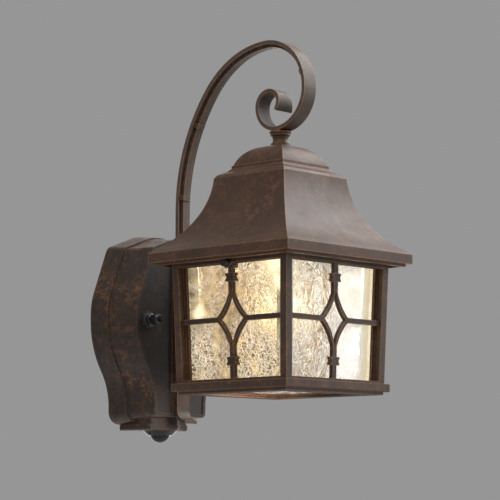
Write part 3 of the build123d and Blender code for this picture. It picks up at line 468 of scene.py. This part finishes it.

# Nodes that look different from the others with their finish, mostly by painted shade, and the
# sensor's glossy socket.
# Painted shade on the arm's inner side, darker where other faces stand close.
dress(rust_paint("rust_paint_arm", (0.070, 0.050, 0.039), (0.092, 0.067, 0.053), rust=0.6,
                 shade_mask=lambda s: s.ramp(s.openness(0.030), (0.55, 1.0), (0.90, 0.0)),
                 shade_color=(0.022, 0.013, 0.009), shade_roughness=0.80),
      "arm", "wire_cover", "cover_clips")
# Painted shade: the plate and the sensor's base darker than the other paint, and darker still on
# faces toward the front, behind the cage.
dress(rust_paint("rust_paint_plate", (0.025, 0.015, 0.011), (0.034, 0.020, 0.014), rust=0.9,
                 wear=0.35, shade_mask=lambda s: s.facing("Y"),
                 shade_color=(0.019, 0.016, 0.015), shade_rust=0.25, shade_roughness=0.49),
      "backplate", "sensor_base")
# Painted shade on the cage's downward faces.
dress(rust_paint("rust_paint_cage", (0.052, 0.028, 0.017), (0.068, 0.037, 0.022), rust=0.6,
                 shade_mask=lambda s: s.facing("Z"),
                 shade_color=(0.015, 0.008, 0.006), shade_roughness=0.85),
      "cage_frame")
# Painted shade: the lattices darker than the other paint.
dress(rust_paint("rust_paint_lattice", (0.030, 0.017, 0.011), (0.042, 0.024, 0.015), rust=0.5),
      "lattice_front", "lattice_left", "lattice_right")
dress(finishes["gloss_black"], "swivel_ring")

# The left pane has the plain seeded glass, and the other panes are paler, each with its own
# strength of painted lamp light.
PANE_BODY = (0.36, 0.355, 0.34)
PANE_SHADE = (0.24, 0.225, 0.19)
PANES = {
    "glass_front": dict(clear=(0.97, 0.96, 0.94), strength=0.25, calm=(-0.026, 0.014)),
    "glass_right": dict(clear=(0.98, 0.98, 0.97), strength=0.14),
    "bottom_glass": dict(clear=(0.80, 0.78, 0.74), strength=0.01, ior=1.15),
}
for pane, look in PANES.items():
    dress(seeded_glass("seeded_" + pane, body=PANE_BODY, shade=PANE_SHADE, **look), pane)

# ---------------------------------------------------------------- floor, backdrop and light
FLOOR_Z, FLOOR_SIZE = -1.2, 120
FLOOR_COLOR, FLOOR_ROUGHNESS = (0.90, 0.90, 0.89), 0.9
WORLD_GREY = 0.305
WHITE = (1, 1, 1)
LANTERN_MIDDLE = (0, AXIS_Y, 0.05)

SOFTBOXES = {                                # place, size of a side, and power in watts
    "right_softbox": ((1.15, -0.65, 1.05), 1.3, 24),
    "front_right": ((1.60, -1.60, 0.10), 1.0, 4),
    "top": ((-0.55, -0.75, 1.7), 1.2, 18),
    "left_fill": ((-2.2, -0.6, 0.2), 1.4, 1.5),
    "back_right": ((1.35, 1.15, 0.25), 2.0, 15),
}

SPILL_COLOR, SPILL_SIZE, SPILL_POWER = (1.0, 0.86, 0.72), 0.05, 0.08
SPILL_PLACE = (0, AXIS_Y, cage_low.z - 0.012)
SPILL_TARGET = (0, -0.06, cage_low.z - 0.05)  # toward the backplate's foot

GLOW_COLOR, GLOW_RADIUS, GLOW_POWER = (1.0, 0.90, 0.62), 0.007, 0.09
GLOW_OFFSET = 0.029                          # from the axis, along X and along Y
GLOW_Z = 0.040


def make_floor():
    """Plain pale floor, well below the lantern, which hangs on a wall."""
    bpy.ops.mesh.primitive_plane_add(size=FLOOR_SIZE, location=(0, 0, FLOOR_Z))
    floor = bpy.context.object
    floor.name = "floor"
    floor.data.materials.append(Shader("floor").finish(FLOOR_COLOR, FLOOR_ROUGHNESS))


def make_world():
    """Even grey studio surround."""
    world = bpy.data.worlds.new("World")
    bpy.context.scene.world = world
    world.use_nodes = True
    background = world.node_tree.nodes["Background"]
    background.inputs["Color"].default_value = (WORLD_GREY, WORLD_GREY, WORLD_GREY, 1)
    background.inputs["Strength"].default_value = 1.0


def add_light(name, kind, place, power, color):
    """A new light of this kind, linked into the scene."""
    data = bpy.data.lights.new(name, kind)
    data.energy = power
    data.color = color
    light = bpy.data.objects.new(name, data)
    light.location = place
    bpy.context.scene.collection.objects.link(light)
    return light


def make_softbox(name, place, size, power, target=LANTERN_MIDDLE, color=WHITE):
    """Soft square light that faces the lantern, unless it has another target."""
    light = add_light(name, "AREA", place, power, color)
    light.data.size = size
    light.visible_camera = False
    aim(light, Vector(target) - Vector(place))


def make_glow(side_x, side_y):
    """Warm light at one corner round the lamp, which isn't itself seen through the panes."""
    place = (side_x * GLOW_OFFSET, AXIS_Y + side_y * GLOW_OFFSET, GLOW_Z)
    light = add_light("lamp_glow", "POINT", place, GLOW_POWER, GLOW_COLOR)
    light.data.shadow_soft_size = GLOW_RADIUS
    light.visible_transmission = False


make_floor()
make_world()
for name, (place, size, power) in SOFTBOXES.items():
    make_softbox(name, place, size, power)
make_softbox("lamp_spill", SPILL_PLACE, SPILL_SIZE, SPILL_POWER, SPILL_TARGET, SPILL_COLOR)
for side_x in (-1, 1):
    for side_y in (-1, 1):
        make_glow(side_x, side_y)
bpy.context.scene.view_settings.view_transform = "Standard"
